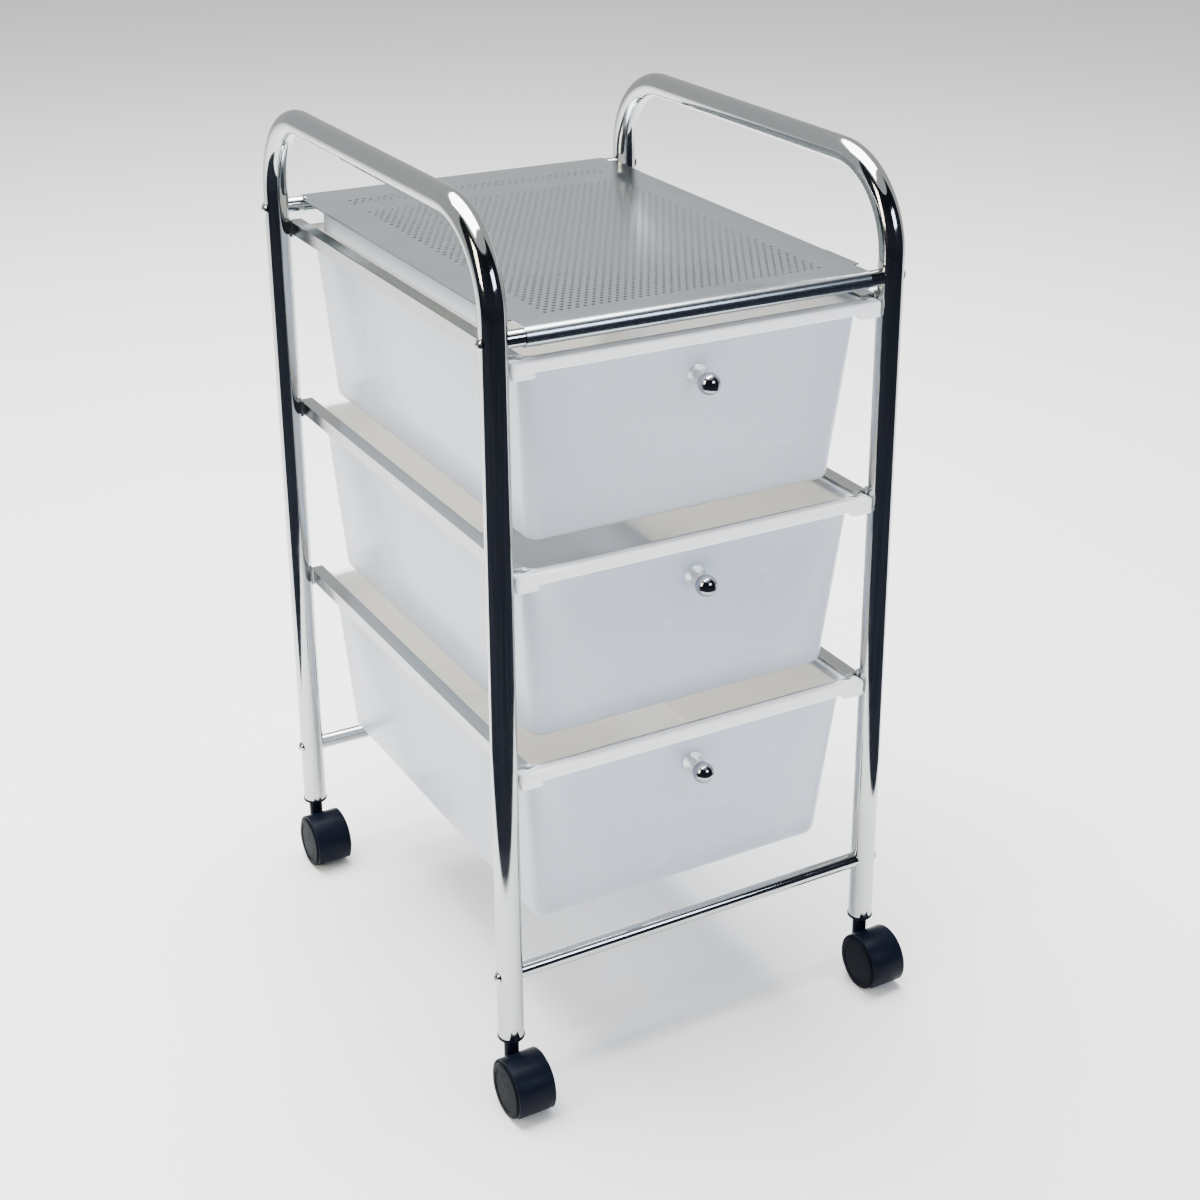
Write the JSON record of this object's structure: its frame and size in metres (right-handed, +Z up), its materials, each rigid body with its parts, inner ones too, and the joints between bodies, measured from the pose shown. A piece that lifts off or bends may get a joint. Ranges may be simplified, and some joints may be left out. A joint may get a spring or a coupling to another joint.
{
  "type": "rolling storage cart",
  "caption": "Rolling storage cart: bent-tube side frames with handles, perforated top tray, white plastic drawers with ball knobs, and twin-wheel swivel casters.",
  "frame": {"origin": "on the floor, under the middle of the bounding box, casters trailing to the front", "axes": "+X to the cart's right as seen from the drawer fronts, +Y from the drawer fronts to the back, +Z up"},
  "size_m": [0.342, 0.439, 0.668],
  "materials": {
    "chrome_tube": "bright plated tube",
    "runner_steel": "bright plated folded channel",
    "tray_sheet": "satin plated perforated sheet",
    "drawer_plastic": "white moulded plastic, slightly translucent",
    "knob_chrome": "bright plated ball",
    "clear_plastic": "clear moulded plastic",
    "screw_steel": "bright plated screw",
    "plain_steel": "plain turned steel",
    "caster_plastic": "black moulded nylon",
    "wheel_plastic": "black moulded nylon"
  },
  "bodies": {
    "frame": {"left_side_frame": "chrome_tube", "runner_left_top": "runner_steel", "runner_left_middle": "runner_steel", "runner_left_bottom": "runner_steel", "right_side_frame": "chrome_tube", "runner_right_top": "runner_steel", "runner_right_middle": "runner_steel", "runner_right_bottom": "runner_steel", "crossbar_front_top": "chrome_tube", "crossbar_front_bottom": "chrome_tube", "crossbar_rear_top": "chrome_tube", "crossbar_rear_bottom": "chrome_tube", "crossbar_thread_inserts": "plain_steel", "crossbar_screws": "screw_steel", "top_tray": "tray_sheet", "caster_socket_front_left": "caster_plastic", "caster_stem_front_left": "plain_steel", "caster_socket_front_right": "caster_plastic", "caster_stem_front_right": "plain_steel", "caster_socket_rear_left": "caster_plastic", "caster_stem_rear_left": "plain_steel", "caster_socket_rear_right": "caster_plastic", "caster_stem_rear_right": "plain_steel", "stem_grip_rings": "plain_steel"},
    "drawer_top": {"drawer_tub_top": "drawer_plastic", "knob_ball_top": "knob_chrome", "knob_collar_top": "clear_plastic", "knob_screw_top": "screw_steel"},
    "drawer_middle": {"drawer_tub_middle": "drawer_plastic", "knob_ball_middle": "knob_chrome", "knob_collar_middle": "clear_plastic", "knob_screw_middle": "screw_steel"},
    "drawer_bottom": {"drawer_tub_bottom": "drawer_plastic", "knob_ball_bottom": "knob_chrome", "knob_collar_bottom": "clear_plastic", "knob_screw_bottom": "screw_steel"},
    "caster_front_left": {"caster_hood_front_left": "caster_plastic", "caster_axle_front_left": "plain_steel"},
    "wheel_front_left_left": {"caster_wheel_front_left_left": "wheel_plastic"},
    "wheel_front_left_right": {"caster_wheel_front_left_right": "wheel_plastic"},
    "caster_front_right": {"caster_hood_front_right": "caster_plastic", "caster_axle_front_right": "plain_steel"},
    "wheel_front_right_left": {"caster_wheel_front_right_left": "wheel_plastic"},
    "wheel_front_right_right": {"caster_wheel_front_right_right": "wheel_plastic"},
    "caster_rear_left": {"caster_hood_rear_left": "caster_plastic", "caster_axle_rear_left": "plain_steel"},
    "wheel_rear_left_left": {"caster_wheel_rear_left_left": "wheel_plastic"},
    "wheel_rear_left_right": {"caster_wheel_rear_left_right": "wheel_plastic"},
    "caster_rear_right": {"caster_hood_rear_right": "caster_plastic", "caster_axle_rear_right": "plain_steel"},
    "wheel_rear_right_left": {"caster_wheel_rear_right_left": "wheel_plastic"},
    "wheel_rear_right_right": {"caster_wheel_rear_right_right": "wheel_plastic"}
  },
  "joints": [
    {"name": "drawer_top_slide", "type": "slide", "parent": "frame", "child": "drawer_top", "axis": [0, -1, 0], "range_m": [0, 0.3]},
    {"name": "drawer_middle_slide", "type": "slide", "parent": "frame", "child": "drawer_middle", "axis": [0, -1, 0], "range_m": [0, 0.3]},
    {"name": "drawer_bottom_slide", "type": "slide", "parent": "frame", "child": "drawer_bottom", "axis": [0, -1, 0], "range_m": [0, 0.3]},
    {"name": "caster_front_left_swivel", "type": "hinge", "parent": "frame", "child": "caster_front_left", "pos_m": [-0.155, -0.17625, 0.05], "axis": [0, 0, 1], "continuous": true},
    {"name": "wheel_front_left_left_spin", "type": "hinge", "parent": "caster_front_left", "child": "wheel_front_left_left", "pos_m": [-0.155, -0.19625, 0.021], "axis": [1, 0, 0], "continuous": true},
    {"name": "wheel_front_left_right_spin", "type": "hinge", "parent": "caster_front_left", "child": "wheel_front_left_right", "pos_m": [-0.155, -0.19625, 0.021], "axis": [1, 0, 0], "continuous": true},
    {"name": "caster_front_right_swivel", "type": "hinge", "parent": "frame", "child": "caster_front_right", "pos_m": [0.155, -0.17625, 0.05], "axis": [0, 0, 1], "continuous": true},
    {"name": "wheel_front_right_left_spin", "type": "hinge", "parent": "caster_front_right", "child": "wheel_front_right_left", "pos_m": [0.155, -0.19625, 0.021], "axis": [1, 0, 0], "continuous": true},
    {"name": "wheel_front_right_right_spin", "type": "hinge", "parent": "caster_front_right", "child": "wheel_front_right_right", "pos_m": [0.155, -0.19625, 0.021], "axis": [1, 0, 0], "continuous": true},
    {"name": "caster_rear_left_swivel", "type": "hinge", "parent": "frame", "child": "caster_rear_left", "pos_m": [-0.155, 0.20975, 0.05], "axis": [0, 0, 1], "continuous": true},
    {"name": "wheel_rear_left_left_spin", "type": "hinge", "parent": "caster_rear_left", "child": "wheel_rear_left_left", "pos_m": [-0.155, 0.18975, 0.021], "axis": [1, 0, 0], "continuous": true},
    {"name": "wheel_rear_left_right_spin", "type": "hinge", "parent": "caster_rear_left", "child": "wheel_rear_left_right", "pos_m": [-0.155, 0.18975, 0.021], "axis": [1, 0, 0], "continuous": true},
    {"name": "caster_rear_right_swivel", "type": "hinge", "parent": "frame", "child": "caster_rear_right", "pos_m": [0.155, 0.20975, 0.05], "axis": [0, 0, 1], "continuous": true},
    {"name": "wheel_rear_right_left_spin", "type": "hinge", "parent": "caster_rear_right", "child": "wheel_rear_right_left", "pos_m": [0.155, 0.18975, 0.021], "axis": [1, 0, 0], "continuous": true},
    {"name": "wheel_rear_right_right_spin", "type": "hinge", "parent": "caster_rear_right", "child": "wheel_rear_right_right", "pos_m": [0.155, 0.18975, 0.021], "axis": [1, 0, 0], "continuous": true}
  ]
}
